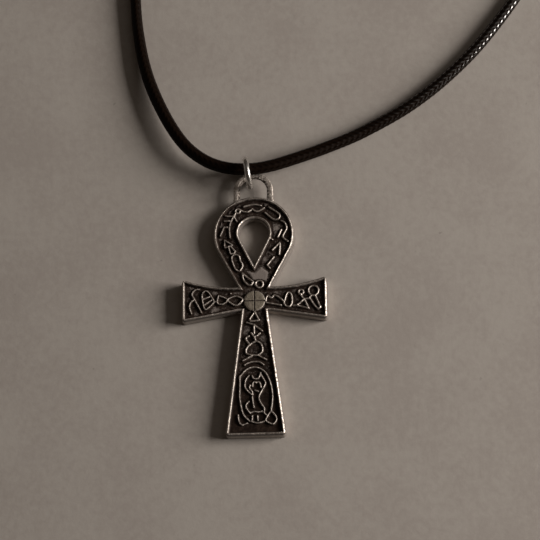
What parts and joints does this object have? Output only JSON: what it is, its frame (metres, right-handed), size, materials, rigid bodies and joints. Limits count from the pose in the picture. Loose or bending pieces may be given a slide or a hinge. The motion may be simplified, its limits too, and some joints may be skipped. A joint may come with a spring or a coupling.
{
  "type": "ankh pendant necklace",
  "caption": "Cast ankh pendant with raised border and line signs, hung by an arch bail and jump ring on a whole loop of black braided cord closed by a barrel clasp; it lies face up.",
  "frame": {"origin": "On the flat back of the casting, under the middle of the centre boss where the arms cross the stem. The back lies on the surface at Z 0.", "axes": "+Z is the face side, away from the surface. +Y runs from the foot to the bail. +X is to the right of the face."},
  "size_m": [0.0966, 0.2285, 0.0055],
  "materials": {
    "cast_metal": "antiqued silver-tone casting, dark in the sunk ground and polished on the raised border and lines",
    "ring_metal": "bright silver-tone plate",
    "cord": "black waxed braid with a low sheen",
    "clasp_metal": "satin silver-tone plate"
  },
  "bodies": {
    "root": {"ankh": "cast_metal", "jump_ring": "ring_metal", "cord": "cord", "clasp": "clasp_metal"}
  },
  "joints": []
}
